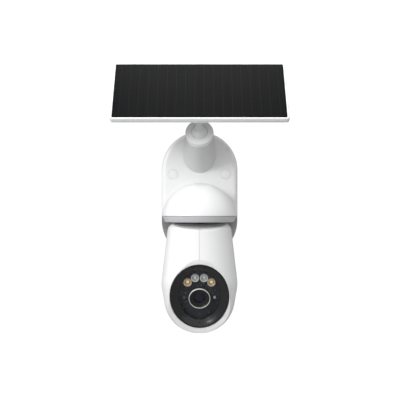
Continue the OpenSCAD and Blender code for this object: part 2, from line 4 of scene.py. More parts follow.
import bmesh
import bpy
import numpy as np
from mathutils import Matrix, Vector


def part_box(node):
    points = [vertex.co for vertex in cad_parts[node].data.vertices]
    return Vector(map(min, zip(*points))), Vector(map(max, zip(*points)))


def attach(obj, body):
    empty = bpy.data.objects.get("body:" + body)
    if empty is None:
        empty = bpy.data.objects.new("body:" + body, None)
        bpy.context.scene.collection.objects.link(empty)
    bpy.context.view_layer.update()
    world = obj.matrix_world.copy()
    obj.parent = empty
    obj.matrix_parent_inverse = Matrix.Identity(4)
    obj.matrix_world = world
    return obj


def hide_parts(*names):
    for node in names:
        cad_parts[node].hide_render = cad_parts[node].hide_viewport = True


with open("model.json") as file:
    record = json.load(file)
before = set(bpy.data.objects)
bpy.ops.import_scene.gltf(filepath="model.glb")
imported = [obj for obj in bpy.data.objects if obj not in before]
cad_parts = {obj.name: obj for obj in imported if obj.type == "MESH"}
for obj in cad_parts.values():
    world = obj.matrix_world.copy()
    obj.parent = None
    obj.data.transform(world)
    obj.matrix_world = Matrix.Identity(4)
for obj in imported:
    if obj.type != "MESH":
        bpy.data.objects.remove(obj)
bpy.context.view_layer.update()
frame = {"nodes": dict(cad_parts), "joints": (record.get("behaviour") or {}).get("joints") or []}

# ---- Viewpoint ----
# A long lens, level with the middle of the camera and square to the wall.
view = bpy.data.cameras.new("viewpoint")
view.angle = radians(14.81)
view.clip_end = 50
viewpoint = bpy.data.objects.new("viewpoint", view)
viewpoint.location = (0.0006, -1.882, -0.0314)
viewpoint.rotation_euler = (radians(90), 0, 0)
bpy.context.scene.collection.objects.link(viewpoint)
bpy.context.scene.camera = viewpoint
bpy.context.scene.view_settings.view_transform = "Standard"


# ---- Floor and light ----
# A pale floor that runs up into a backdrop, white air all round, and a large soft lamp at the upper left.
# Floor and air look brighter to the camera than the light that they give, which keeps them white.
class Wire:
    """A value in a material. Sums, products and comparisons of wires become Math nodes."""

    def __init__(self, paint, socket):
        self.paint, self.socket = paint, socket

    def maths(self, operation, *values):
        return self.paint.node("ShaderNodeMath", {"operation": operation}, dict(enumerate(values)))

    def __add__(self, other): return self.maths("ADD", self, other)
    def __radd__(self, other): return self.maths("ADD", other, self)
    def __sub__(self, other): return self.maths("SUBTRACT", self, other)
    def __rsub__(self, other): return self.maths("SUBTRACT", other, self)
    def __mul__(self, other): return self.maths("MULTIPLY", self, other)
    def __rmul__(self, other): return self.maths("MULTIPLY", other, self)
    def __truediv__(self, other): return self.maths("DIVIDE", self, other)
    def __mod__(self, other): return self.maths("FLOORED_MODULO", self, other)
    def __gt__(self, other): return self.maths("GREATER_THAN", self, other)
    def __lt__(self, other): return self.maths("LESS_THAN", self, other)
    def __pow__(self, other): return self.maths("POWER", self, other)
    def sine(self): return self.maths("SINE", self)
    def most(self, other): return self.maths("MAXIMUM", self, other)


class Paint:
    """One material. node() adds any node, and gloss() sets what the surface's shader shows."""

    def __init__(self, name):
        self.material = bpy.data.materials.new(name)
        self.material.use_nodes = True
        self.tree = self.material.node_tree
        self.shader = self.tree.nodes["Principled BSDF"]
        self.place = self.node("ShaderNodeTexCoord", out="Object")

    def node(self, kind, settings=None, values=None, out=0):
        """Adds a node, gives it its settings, then feeds its sockets with numbers, colours or wires."""
        made = self.tree.nodes.new(kind)
        for name, value in (settings or {}).items():
            if name == "stops":
                ramp = made.color_ramp.elements
                while len(ramp) < len(value):
                    ramp.new(0.5)
                for stop, (at, colour) in zip(ramp, value):
                    stop.position, stop.color = at, (*colour, 1)
            else:
                setattr(made, name, value)
        for name, value in (values or {}).items():
            self.feed(made.inputs[name], value)
        return Wire(self, made.outputs[out])

    def feed(self, socket, value):
        if isinstance(value, Wire):
            self.tree.links.new(value.socket, socket)
        elif socket.type == "RGBA" and len(value) == 3:
            socket.default_value = (*value, 1)
        else:
            socket.default_value = value

    def blend(self, share, one, other):
        """One colour where share is 0, the other where it is 1."""
        return self.node("ShaderNodeMix", {"data_type": "RGBA"}, {0: share, 6: one, 7: other}, out=2)

    def axes(self, place=None):
        """The three parts of a place, as x, y and z wires in metres."""
        split = self.tree.nodes.new("ShaderNodeSeparateXYZ")
        self.feed(split.inputs[0], place or self.place)
        return [Wire(self, s) for s in split.outputs]

    def cloud(self, size, detail=2.0, stretch=None):
        """Soft random values from 0 to 1 with blotches about size metres across."""
        place = self.place
        if stretch:
            place = self.node("ShaderNodeMapping", None, {"Vector": place, "Scale": stretch})
        return self.node("ShaderNodeTexNoise", None, {"Vector": place, "Scale": 1 / size, "Detail": detail})

    def relief(self, height, depth, strength=1.0):
        """Bumps of a height from 0 to 1, depth metres high."""
        return self.node("ShaderNodeBump", None, {"Height": height, "Distance": depth, "Strength": strength})

    def gloss(self, **shows):
        """Feeds the shader's sockets: base_color becomes Base Color, and so on."""
        names = {s.name.lower().replace(" ", "_"): s for s in self.shader.inputs}
        for name, value in shows.items():
            self.feed(names[name], value)
        return self.material


def floor_sheet():
    """Rows run from in front of the viewer to the backdrop's top: flat, a quarter circle, then upright."""
    turn = np.linspace(0, pi / 2, 24)
    depth = np.concatenate([[-6], 2.4 + 0.8 * np.sin(turn), [3.2]])
    height = np.concatenate([[-0.26], -0.26 + 0.8 * (1 - np.cos(turn)), [6]])
    across = np.array([-7.0, 7.0])
    return np.stack(np.broadcast_arrays(across[None], depth[:, None], height[:, None]), -1)


def sheet_faces(rows, columns, around=False, along=False):
    """Indices of the four corners of each cell of a grid, which meets itself where it runs around or along."""
    index = np.arange(rows * columns).reshape(rows, columns)
    if along:
        index = np.concatenate([index, index[:1]])
    if around:
        index = np.concatenate([index, index[:, :1]], 1)
    return np.stack([index[:-1, :-1], index[:-1, 1:], index[1:, 1:], index[1:, :-1]], -1).reshape(-1, 4)


studio = bpy.data.meshes.new("studio_floor")
sheet = floor_sheet()
studio.from_pydata(sheet.reshape(-1, 3), [], sheet_faces(*sheet.shape[:2]))
studio.shade_smooth()
studio_floor = bpy.data.objects.new("studio_floor", studio)
bpy.context.scene.collection.objects.link(studio_floor)
paper = Paint("pale_paper")
studio.materials.append(paper.gloss(
    base_color=paper.blend(paper.cloud(0.4), (0.3, 0.3, 0.3), (0.33, 0.33, 0.33)), roughness=0.9,
    emission_color=(1, 1, 1)))
seen = paper.tree.nodes.new("ShaderNodeLightPath")
paper.feed(paper.shader.inputs["Emission Strength"], 0.85 * Wire(paper, seen.outputs["Is Camera Ray"]))

air = bpy.data.worlds.new("white_air")
air.use_nodes = True
air.node_tree.nodes["Background"].inputs["Color"].default_value = (1, 1, 1, 1)
glimpse = air.node_tree.nodes.new("ShaderNodeLightPath")
lift = air.node_tree.nodes.new("ShaderNodeMapRange")
lift.inputs["To Min"].default_value, lift.inputs["To Max"].default_value = 0.84, 1.0
air.node_tree.links.new(glimpse.outputs["Is Camera Ray"], lift.inputs["Value"])
air.node_tree.links.new(lift.outputs["Result"], air.node_tree.nodes["Background"].inputs["Strength"])
bpy.context.scene.world = air


def lamp(name, place, aim, size, power):
    """A square soft lamp of that size in metres, at place, turned towards aim."""
    light = bpy.data.lights.new(name, "AREA")
    light.size, light.energy = size, power
    holder = bpy.data.objects.new(name, light)
    holder.location = place
    holder.rotation_euler = (Vector(aim) - Vector(place)).to_track_quat("-Z", "Y").to_euler()
    bpy.context.scene.collection.objects.link(holder)


lamp("window_left", (-1.4, -1.6, 0.75), (0, 0, -0.05), 0.8, 27)
lamp("fill_above", (-0.1, -0.5, 1.5), (0, -0.05, 0), 0.8, 4)
lamp("strip_behind", (0, 0.38, 0.62), (0, -0.05, 0.1), 0.34, 1.8)

# ---- Wall plate ----
# The bracket that the whole camera hangs from: one arched moulding in white plastic with a softly rounded front edge.
# It is screwed to the wall through two bosses, which are drilled here and plugged below.
joints = {j["name"]: j for j in frame["joints"]}
pan_at = np.array(joints["pan"]["pos_m"]) * 1000
tilt_at = np.array(joints["tilt"]["pos_m"]) * 1000
plate_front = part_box("screw_plugs")[0].y * 1000
plate_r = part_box("body_shell")[1].x * 1000
arch_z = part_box("body_shell")[1].z * 1000 - plate_r
foot_z = pan_at[2]


def arc(centre, radius, start, end, steps):
    """Points on a circle from one angle to another, in degrees."""
    turn = np.radians(np.linspace(start, end, steps))
    return np.stack([centre[0] + radius * np.cos(turn), centre[1] + radius * np.sin(turn)], -1)


def carried(outline, normals, profile):
    """Each profile point (inset, height) carried along a closed outline: outline - inset * normal, at that height."""
    flat = outline[None] - profile[:, None, :1] * normals[None]
    return np.concatenate([flat, np.broadcast_to(profile[:, None, 1:], flat.shape[:2] + (1,))], -1)


def piece(name, *grids, closed=(True, False), crease=32, merge=0.0004):
    """A mesh through grids of points in millimetres. Points that coincide are merged, faces are turned outwards,
    and edges sharper than crease degrees stay crisp."""
    mesh = bpy.data.meshes.new(name)
    points, faces, start = [], [], 0
    for grid in grids:
        rows, columns = grid.shape[:2]
        points.append(grid.reshape(-1, 3) / 1000)
        faces.append(sheet_faces(rows, columns, *closed) + start)
        start += rows * columns
    mesh.from_pydata(np.concatenate(points), [], np.concatenate(faces))
    tidy = bmesh.new()
    tidy.from_mesh(mesh)
    bmesh.ops.remove_doubles(tidy, verts=tidy.verts, dist=merge / 1000)
    bmesh.ops.dissolve_degenerate(tidy, edges=tidy.edges, dist=1e-7)
    bmesh.ops.recalc_face_normals(tidy, faces=tidy.faces)
    tidy.to_mesh(mesh)
    tidy.free()
    mesh.shade_smooth()
    mesh.set_sharp_from_angle(angle=radians(crease))
    made = bpy.data.objects.new(name, mesh)
    bpy.context.scene.collection.objects.link(made)
    return made


def carve(made, *cutters, crease=32):
    """Cuts each cutter out of a piece, and takes the cutters away."""
    for cutter in cutters:
        cut = made.modifiers.new("cut", "BOOLEAN")
        cut.operation, cut.solver, cut.object = "DIFFERENCE", "EXACT", cutter
    cut_mesh = bpy.data.meshes.new_from_object(made.evaluated_get(bpy.context.evaluated_depsgraph_get()))
    made.modifiers.clear()
    made.data = cut_mesh
    made.data.shade_smooth()
    made.data.set_sharp_from_angle(angle=radians(crease))
    for cutter in cutters:
        bpy.data.objects.remove(cutter)


def turned(profile, steps=72):
    """A profile (radius, height) turned about z: (r cos a, r sin a, h) for each angle a."""
    turn = np.linspace(0, 2 * pi, steps, endpoint=False)
    profile = np.asarray(profile, float)
    return np.stack(np.broadcast_arrays(
        profile[:, :1] * np.cos(turn), profile[:, :1] * np.sin(turn), profile[:, 1:]), -1)


def placed(grid, at, right, up, out):
    """Local x, y and z taken to three directions from a point."""
    return np.asarray(at) + grid @ np.array([right, up, out], float)


def from_wall(grid, x=0.0, z=0.0):
    """Local z runs straight out of the wall, and y up it."""
    return placed(grid, (x, 0, z), (1, 0, 0), (0, 0, 1), (0, -1, 0))


def pill(radius, top, bottom, steps=72):
    """Two half circles joined by straight sides: the points, and the outward normals at them."""
    side = np.linspace(0, 1, 14)[1:-1, None]
    upper, lower = arc((0, top), radius, 0, 180, steps), arc((0, bottom), radius, 180, 360, steps)
    left = upper[-1] + side * (lower[0] - upper[-1])
    right = lower[-1] + side * (upper[0] - lower[-1])
    ways = arc((0, 0), 1, 0, 180, steps), arc((0, 0), 1, 180, 360, steps)
    flat = np.ones((12, 1))
    return (np.concatenate([upper, left, lower, right]),
            np.concatenate([ways[0], flat * [-1.0, 0], ways[1], flat * [1.0, 0]]))


def moulded(name, colour, roughness=0.42, grain=0.00022, depth=0.000012, shade=0.03):
    """Moulded plastic: an even colour, faintly cloudy, a fine spark-eroded grain and a little wear in its gloss."""
    paint = Paint(name)
    darker = tuple(c * (1 - shade) for c in colour)
    return paint.gloss(
        base_color=paint.blend(paint.cloud(0.03), colour, darker),
        roughness=roughness + 0.08 * (paint.cloud(0.012, 4) - 0.5),
        normal=paint.relief(paint.cloud(grain, 3), depth), specular_ior_level=0.5)


def dressed(made, material, body):
    """Gives a piece its one material, and sets it on its body."""
    made.data.materials.clear()
    made.data.materials.append(material)
    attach(made, body)


shell_white = moulded("satin_white_shell", (0.87, 0.872, 0.875), 0.36)
plate_depth = -plate_front
edge = arc((6, plate_depth - 6), 6, 180, 90, 14)
plate_profile = np.concatenate([[(plate_r, 0), (0.7, 0), (0.2, 0.2), (0, 0.7)], edge, [(plate_r, plate_depth)]])
wall_plate = piece("wall_plate", from_wall(carried(*pill(plate_r, arch_z, foot_z), plate_profile)))
screw_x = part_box("screw_plugs")[1].x * 1000 - 6
cover_low, cover_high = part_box("arm_cover_screw")
cover_x, cover_z = (cover_low.x + cover_high.x) * 500, (cover_low.z + cover_high.z) * 500


def drill(radius, bottom, top, x, z, soft=0.0):
    """A round cutter out of the wall, from bottom to top, with a soft mouth."""
    rim = [(radius, bottom), (radius, top - 1), (radius + soft, top), (radius + soft, top + 2)]
    return piece("drill", from_wall(turned([(0, bottom), *rim, (0, top + 2)]), x, z))


carve(wall_plate, *[drill(6.12, plate_depth - 3.3, plate_depth, x, 0) for x in (-screw_x, screw_x)],
      drill(2.6, plate_depth - 1.7, plate_depth, cover_x, cover_z))
dressed(wall_plate, shell_white, "housing")
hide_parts("body_shell")

# ---- Screw plugs ----
# Two round caps that are pressed over the wall screws, flush with the plate, each with a softened rim.
plug_profile = [(0, plate_depth - 3.1), (5.7, plate_depth - 3.1), (6.0, plate_depth - 2.9),
                (6.0, plate_depth - 0.3), (5.92, plate_depth - 0.08), (5.7, plate_depth), (0, plate_depth)]
plugs = piece("screw_plug_caps", *[from_wall(turned(plug_profile), x) for x in (-screw_x, screw_x)])
dressed(plugs, shell_white, "housing")
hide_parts("screw_plugs")

# ---- Hood ----
# The upper half of the housing: a half barrel that runs out of the plate and ends in a dome over the head.
# It is one thin white shell with a small radius along its straight lower rim and an inward floor.
hood_r = 44.5
rim_up = 6.0


def along_hood(profile, back, axis):
    """The profile (r, z) runs straight out on the right, half round the dome, and straight back on the left."""
    straight = np.linspace(back, axis, 12)
    turn = np.linspace(0, pi, 73)[1:-1]
    centre = np.concatenate([straight, np.full(71, axis), straight[::-1]])
    way_x = np.concatenate([np.ones(12), np.cos(turn), -np.ones(12)])
    way_y = np.concatenate([np.zeros(12), -np.sin(turn), np.zeros(12)])
    return np.stack([profile[:, :1] * way_x, centre + profile[:, :1] * way_y,
                     np.broadcast_to(profile[:, 1:], (len(profile), len(way_x)))], -1)


rim_r = (hood_r ** 2 - rim_up ** 2) ** 0.5
dome = arc((0, 0), hood_r, 90, 9.4, 50)
lip = arc((rim_r - 1.15, rim_up + 0.65), 1.0, 8, -90, 10)
inner = np.concatenate([arc((0, 0), hood_r - 2.4, 90, 11.6, 60), [(36, rim_up + 2.4)]])
inner[:-1][inner[:-1, 1] < rim_up + 2.4, 1] = rim_up + 2.4
hood_profile = np.concatenate([dome, lip, [(36, rim_up)], inner[::-1]])
hood_profile[:, 1] += pan_at[2]
hood = piece("hood_shell", along_hood(hood_profile, plate_front + 3, pan_at[1]), closed=(False, False))
dressed(hood, shell_white, "housing")
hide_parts("body_shell")

# ---- Rear housing ----
# The lower half of the barrel, behind the head: its flanks hug the head's path, and it ends in a flat floor.
# It is moulded in one with the plate and the hood, in the same white plastic.


def rear_levels():
    """At each height: two straight flanks, half the barrel's width apart, and an arc round the pan axis."""
    levels = np.concatenate([np.linspace(-22, 5.6, 30)])
    rows = []
    for z in levels:
        half = ((hood_r - 0.06) ** 2 - z ** 2) ** 0.5
        reach = pan_at[1] + (47.8 ** 2 - half ** 2) ** 0.5
        flank = np.linspace(plate_front + 3, reach, 12)[:-1]
        x = np.linspace(half, -half, 61)
        rows.append(np.stack([
            np.concatenate([np.full(11, half), x, np.full(11, -half)]),
            np.concatenate([flank, pan_at[1] + (47.8 ** 2 - x ** 2) ** 0.5, flank[::-1]]),
            np.full(83, z + pan_at[2])], -1))
    rows = np.array(rows)
    middle = np.array([[0, -30, 0]])
    return np.concatenate([middle + (rows[:1] - middle) * [0, 0, 1], rows, middle + (rows[-1:] - middle) * [0, 0, 1]])


rear_housing = piece("rear_housing", rear_levels())
soft = rear_housing.modifiers.new("soft_edges", "BEVEL")
soft.width, soft.segments, soft.limit_method, soft.angle_limit = 0.0006, 3, "ANGLE", radians(40)
dressed(rear_housing, shell_white, "housing")
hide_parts("body_shell")

# ---- Solar arm ----
# A hollow cone in the same white plastic, screwed to the plate from behind, with a rounded mouth that holds the ball.
# Its colour is painted darker than the plate's, as painted shade for its downward-facing body.
# Its foot is cut on the slant, to follow the plate's face.
swivel = joints["panel_swivel"]
arm_way = np.array(swivel["axis"])
ball_at = np.array(swivel["pos_m"]) * 1000
ball_w = 51.0
arm_foot = ball_at - ball_w * arm_way


def on_arm(grid):
    """Local z runs out along the arm from its foot, x is to the right, and y is up across it."""
    return placed(grid, arm_foot, (1, 0, 0), np.cross(arm_way, [1, 0, 0]), arm_way)
cone_radius, cone_taper = 20.2, 3.6 / 47


def arm_skin():
    """A cone whose first row is slanted to lie just inside the plate's face: solved for where y is the plate's."""
    turn = np.linspace(0, 2 * pi, 96, endpoint=False)
    slant = np.cross(arm_way, [1, 0, 0])[1]
    foot = np.zeros(96)
    for _ in range(6):
        radius = cone_radius - cone_taper * foot
        foot = (plate_front + 0.8 - arm_foot[1] - radius * np.sin(turn) * slant) / arm_way[1]
    rows = [np.stack([
        (cone_radius - cone_taper * z) * np.cos(turn), (cone_radius - cone_taper * z) * np.sin(turn), z], -1)
            for z in (foot + share * (46.2 - foot) for share in np.linspace(0, 1, 24))]
    mouth = turned([(16.45, 46.75), (16.1, 47.0), (13.6, 47.0), (13.45, 46.8), (13.45, 33), (0, 33)], 96)
    floor = np.array([0, 0, 1.0]) * rows[0]
    return np.concatenate([np.zeros((1, 96, 3)) + floor.mean(0), rows, mouth])


# Painted shade: the arm's white is darker than the shell's, for the shade on its underside.
arm_white_painted_shade = moulded("satin_white_arm", (0.7, 0.703, 0.708), 0.4)
arm = piece("arm_tube_skin", on_arm(arm_skin()))
dressed(arm, arm_white_painted_shade, "housing")
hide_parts("arm_tube")

# ---- Locking ring ----
# The pale ring that closes on the ball: one smooth band with rounded shoulders, turned by hand.
# It is plastic, a little paler than the arm behind it, whose darker tone is painted shade.
ring_profile = [(13.6, 47.35), (16.2, 47.35), (16.7, 47.8), (16.75, 53.6), (16.3, 54.55), (15.6, 54.95), (9.9, 54.95),
                (9.4, 54.6), (9.5, 54.2), (10.15, 52.2), (10.3, 51.2), (13.6, 51.1)]
ring = piece("locking_ring", on_arm(turned(ring_profile, 96)), closed=(True, True))
dressed(ring, moulded("pale_ring", (0.88, 0.882, 0.885), 0.36), "lock_ring")
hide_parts("lock_ring")

# ---- Ball and stud ----
# One moulding: a ball, a ribbed skirt on top of it that the thumb turns, and a spindle that goes up into the panel.
# It is made from one turned profile.
stud_way = np.array(joints["panel_turn"]["axis"])


def on_stud(grid):
    """Local z runs from the ball up to the panel, x is to the right, and y is up the panel's slope."""
    return placed(grid, ball_at, (1, 0, 0), np.cross(stud_way, [1, 0, 0]), stud_way)


def ribbed(profile, ribs, depth, steps=240):
    """A turned profile (radius, height, share) whose radius falls by depth * share between the ribs."""
    turn = np.linspace(0, 2 * pi, steps, endpoint=False)
    radius, height, share = (c[:, None] for c in np.array(profile, float).T)
    radius = radius - depth * share * (0.5 - 0.5 * np.cos(ribs * turn)) ** 2
    return np.stack(np.broadcast_arrays(radius * np.cos(turn), radius * np.sin(turn), height), -1)


ball_arc = [(r, z, 0) for r, z in arc((0, 0), 9.98, -90, 52, 26)]
ball_arc[0] = (0, -9.98, 0)
stud_profile = ball_arc + [
    (5.6, 8.6, 0), (4.2, 10.5, 0), (3.5, 13, 0), (3.5, 14.6, 0), (7.6, 17.6, 0.3), (8.15, 18.3, 1),
    (8.2, 20, 1), (8.2, 26.8, 1), (8.0, 27.7, 0.6), (7.4, 28.1, 0), (5.9, 28.15, 0), (5.9, 35, 0),
    (0, 35, 0)]
stud_white = moulded("grey_white_stud", (0.8, 0.803, 0.808), 0.34)
stud = piece("ball_and_stud", on_stud(ribbed(stud_profile, 20, 0.8)))
dressed(stud, stud_white, "ball_stud")
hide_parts("ball_stud")
socket_grey = moulded("socket_grey", (0.2, 0.202, 0.208), 0.5)

# ---- Panel frame ----
# The white surround of the solar panel: a rounded rectangle with softened edges and a step that the glass lies in.
# The back cover closes it from behind.
frame_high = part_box("panel_frame")[1]
panel_half = frame_high.x * 1000
panel_slope = radians(35)
panel_at = ball_at + 42.5 * stud_way + 29.5 * np.cross(stud_way, [1, 0, 0])


def on_panel(grid):
    """Local x is to the right, y is up the slope, and z stands off the glass."""
    return placed(grid, panel_at, (1, 0, 0), np.cross(stud_way, [1, 0, 0]), stud_way)


def round_rectangle(half_x, half_y, radius, steps=10):
    """Four quarter circles joined by straight sides: the points, and the outward normals at them."""
    corners = [(half_x - radius, half_y - radius, 0), (radius - half_x, half_y - radius, 90),
               (radius - half_x, radius - half_y, 180), (half_x - radius, radius - half_y, 270)]
    return (np.concatenate([arc((x, y), radius, a, a + 90, steps) for x, y, a in corners]),
            np.concatenate([arc((0, 0), 1, a, a + 90, steps) for _, _, a in corners]))


frame_profile = np.array([(0.35, -3.95), (0.1, -3.8), (0, -3.5), (0, -0.7), (0.15, -0.3), (0.6, -0.04), (1.0, 0),
                          (2.1, 0), (2.35, -0.08), (2.45, -0.3), (2.45, -2.2), (6.4, -2.2), (6.4, -3.95)])
surround = piece("panel_surround", on_panel(carried(*round_rectangle(panel_half, 63.5, 4), frame_profile)),
                 closed=(True, True))
dressed(surround, moulded("panel_white", (0.85, 0.852, 0.855), 0.38), "solar_panel")
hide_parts("panel_frame")

# ---- Solar laminate ----
# Twenty-four dark silicon cells under a clear quilted sheet: fine silver fingers, two busbars a cell and narrow gaps.
# The sheet lies in the frame's step. It is opaque here, and the cells are a pattern in its material.
sheet_profile = np.array([(0.8, -1.1), (0.1, -1.1), (0, -1.0), (0, -0.35), (0.12, -0.22), (0.3, -0.2), (0.8, -0.2)])


def laminate_grid():
    """The outline carried up the edge, then drawn in to the middle line of the sheet."""
    outline, normals = round_rectangle(panel_half - 2.65, 60.85, 1.9)
    edge = carried(outline, normals, sheet_profile)
    spine = np.stack([np.clip(outline[:, 0], -42, 42), np.zeros(len(outline))], -1)
    ends = [np.concatenate([spine, np.full((len(spine), 1), z)], -1)[None] for z in (-1.1, -0.2)]
    return np.concatenate([ends[0], edge, ends[1]])


cells = Paint("silicon_cells")
cell_x, cell_y, cell_z = cells.axes()
along = cell_x * 1000
up_slope = (cell_y * (1000 * cos(panel_slope)) + cell_z * (1000 * sin(panel_slope))) - float(
    panel_at[1] * cos(panel_slope) + panel_at[2] * sin(panel_slope))


def stripe(value, pitch, width):
    """1 in lines of that width, one each pitch, and 0 between them."""
    return (value % pitch) < width


gap = stripe(along + 99.4, 33.1, 0.8).most(stripe(up_slope + 59.4, 29.6, 0.7))
busbar = stripe(along + 99.4 + 5.6, 11.03, 0.55)
fingers = stripe(up_slope + 80, 1.55, 0.4)
quilt = (along * 3.6).sine() * (up_slope * 3.6).sine()
silicon = cells.blend(cells.cloud(0.018, 3), (0.0008, 0.0009, 0.0011), (0.0018, 0.002, 0.0023))
silicon = cells.blend(quilt * 0.45 + 0.5, silicon, (0.0045, 0.005, 0.0056))
silicon = cells.blend(fingers * 0.35, silicon, (0.008, 0.009, 0.0105))
silicon = cells.blend(busbar * 0.35, silicon, (0.022, 0.0235, 0.026))
silicon = cells.blend(gap * 0.8, silicon, (0.001, 0.0011, 0.0013))
laminate = cells.gloss(
    base_color=silicon, roughness=0.3 + 0.1 * cells.cloud(0.01, 3), coat_weight=0.012, coat_roughness=0.2,
    normal=cells.relief(quilt * 0.5 + 0.5, 0.00004, 0.6), specular_ior_level=0.01)
sheet_piece = piece("solar_laminate", on_panel(laminate_grid()))
dressed(sheet_piece, laminate, "solar_panel")
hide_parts("panel_glass")

# ---- Panel back ----
# A flat white moulding screwed up behind the cells, with a shallow box for the joints of the cells' leads.
# Its pieces are the exact solids with their edges softened.


def softened(node, name, width, material, body, crease=30):
    """A CAD node's own shape with its edges rounded over: its triangles are joined, flat faces are cleared, and
    every edge sharper than crease degrees is bevelled by width millimetres."""
    mesh = frame["nodes"][node].data.copy()
    made = bpy.data.objects.new(name, mesh)
    bpy.context.scene.collection.objects.link(made)
    tidy = bmesh.new()
    tidy.from_mesh(mesh)
    bmesh.ops.remove_doubles(tidy, verts=tidy.verts, dist=2e-6)
    bmesh.ops.dissolve_limit(tidy, angle_limit=radians(1.5), verts=tidy.verts, edges=tidy.edges)
    tidy.to_mesh(mesh)
    tidy.free()
    mesh.shade_smooth()
    mesh.set_sharp_from_angle(angle=radians(crease))
    over = made.modifiers.new("rounded_edges", "BEVEL")
    over.width, over.segments, over.limit_method, over.angle_limit = width / 1000, 2, "ANGLE", radians(crease + 8)
    over.harden_normals = True
    dressed(made, material, body)
    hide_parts(node)
    return made


back_white = moulded("panel_back_white", (0.82, 0.822, 0.826), 0.48, 0.0004, 0.00003)
softened("panel_back", "panel_back_cover", 0.4, back_white, "solar_panel")
softened("stud_socket", "panel_socket", 0.4, back_white, "solar_panel")

# ---- Turntable ----
# The disc that turns under the hood and carries the head, moulded in the same plastic; its cooler grey is painted
# shade from the hood above it.
# It is made from one turned profile.
# Painted shade: the disc's grey stands in for the shadow under the hood.
disc_grey_painted_shade = moulded("cool_grey_disc", (0.62, 0.624, 0.635), 0.45)


def repaint(node, material):
    """A CAD node keeps its shape and gets this material."""
    slots = frame["nodes"][node].data.materials
    slots.clear()
    slots.append(material)


turntable_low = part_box("turntable")[0]
under = turntable_low.z * 1000
disc_profile = [(0, under + 0.4), (5, under), (39.9, under), (40.4, under + 0.25), (40.7, under + 0.7),
                (43.0, under + 5.9), (43.1, under + 6.3), (42.8, under + 6.6), (18.0, under + 6.6), (18, under + 21),
                (0, under + 21)]
disc_profile = [(r if z < under + 6.65 else min(r, 9.0), z) for r, z in disc_profile]
disc = piece("turntable_disc", placed(
    turned(disc_profile, 120), [pan_at[0], pan_at[1], 0], (1, 0, 0), (0, 1, 0), (0, 0, 1)))
dressed(disc, disc_grey_painted_shade, "turntable")
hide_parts("turntable")

# ---- Head shells ----
# The head is one rounded form in glossy white plastic, split down the middle line, where a hair-thin seam shows.
# Its back and top are a half barrel about the tilt shaft that runs on down to the front in a shallow slope, which
# clears the disc when the face looks up, and the rest is turned about the pan axis.
head_white = moulded("gloss_white_head", (0.9, 0.902, 0.905), 0.3, 0.0003, 0.000005)
nose_slope = radians(12.5)
shoulder, middle, chin = (27.5, 32.0, 10.0), (0.0, -28.5, 44.4), (0.0, -46.0, 41.5)


def skin_radius(z, inset=0.0):
    """The head's radius at a height: the outermost of the circles that roll from shoulder to middle to chin."""
    share = np.linspace(0, 1, 160)[:, None]
    levels = np.linspace(-90, 45, 1400)
    widest = np.zeros_like(levels)
    for one, other in ((shoulder, middle), (middle, chin)):
        centre, height, radius = (a + share * (b - a) for a, b in zip(one, other))
        inside = (radius - inset) ** 2 - (levels - height) ** 2
        widest = np.maximum(widest, np.where(inside > 0, centre + np.sqrt(np.maximum(inside, 0)), 0).max(0))
    return np.interp(z, levels, widest)


def head_form(inset=0.0, columns=72, rows=56):
    """Below the tilt shaft each level is a circle of skin_radius. Above it, each slice across x is found by halving:
    how far from the shaft a ray meets either the barrel or the circle at its height. Both halves share their edge."""
    turn = np.linspace(0, pi, columns + 1)
    level = -(86.9 - inset) * np.sin(np.linspace(0, pi / 2, rows))
    level[-1] = -(87.5 - inset)
    radius = skin_radius(level, inset)
    radius[-1] = 0
    front = np.stack([radius[:, None] * np.cos(turn), -radius[:, None] * np.sin(turn),
                      np.broadcast_to(level[:, None], (rows, columns + 1))], -1)
    back = front * [1, -1, 1]
    across = radius[0] * np.cos(turn)[:, None]
    ray = np.linspace(0, pi, 90)[None]
    barrel = 42.0 - inset
    slope = barrel * cos(radians(3)) / np.sin(ray + nose_slope)
    reach = np.where(ray < pi / 2 - nose_slope, np.maximum(barrel, slope), barrel)
    low, high = np.zeros((columns + 1, 90)), np.broadcast_to(reach, (columns + 1, 90))
    for _ in range(34):
        tried = (low + high) / 2
        flat, height = tried * np.cos(ray), tried * np.sin(ray)
        inside = across ** 2 + flat ** 2 < skin_radius(height, inset) ** 2
        low, high = np.where(inside, tried, low), np.where(inside, high, tried)
    top = np.stack([np.broadcast_to(across, low.shape), -low * np.cos(ray), low * np.sin(ray)], -1)
    top[:, 0], top[:, -1] = front[0], back[0]
    return [grid + tilt_at for grid in (front, back[:, ::-1], top)]


def bar(x, y, z):
    """A box between pairs of limits, as a grid of rings: floor, sides and lid."""
    ring = np.array([(x[0], y[0]), (x[1], y[0]), (x[1], y[1]), (x[0], y[1])], float)
    centre = ring.mean(0) + 0 * ring
    return np.array([
        [(*p, h) for p in line] for line, h in ((centre, z[0]), (ring, z[0]), (ring, z[1]), (centre, z[1]))])


face_at = tilt_at + [0, -24, -43]
pitch = radians(22)
face_ways = (1, 0, 0), (0, -sin(pitch), cos(pitch)), (0, -cos(pitch), -sin(pitch))


def ovals(rows, steps=144):
    """A stack of ovals: each row is half width, half height, centre height and distance out of the face."""
    turn = np.linspace(0, 2 * pi, steps, endpoint=False)
    half_w, half_h, centre, out = (c[:, None] for c in np.array(rows, float).T)
    return np.stack(np.broadcast_arrays(half_w * np.cos(turn), centre + half_h * np.sin(turn), out), -1)


def on_face(grid, u=0.0, v=0.0):
    """Local x is right across the face, y is up it, and z comes straight out of it."""
    return placed(grid + [u, v, 0], face_at, *face_ways)


def round_back(grid, turn, z):
    """Local y runs straight out through the back of the head, turned about the pan axis."""
    a = radians(turn)
    return placed(grid, tilt_at + [0, 0, z], (cos(a), sin(a), 0), (-sin(a), cos(a), 0), (0, 0, 1))


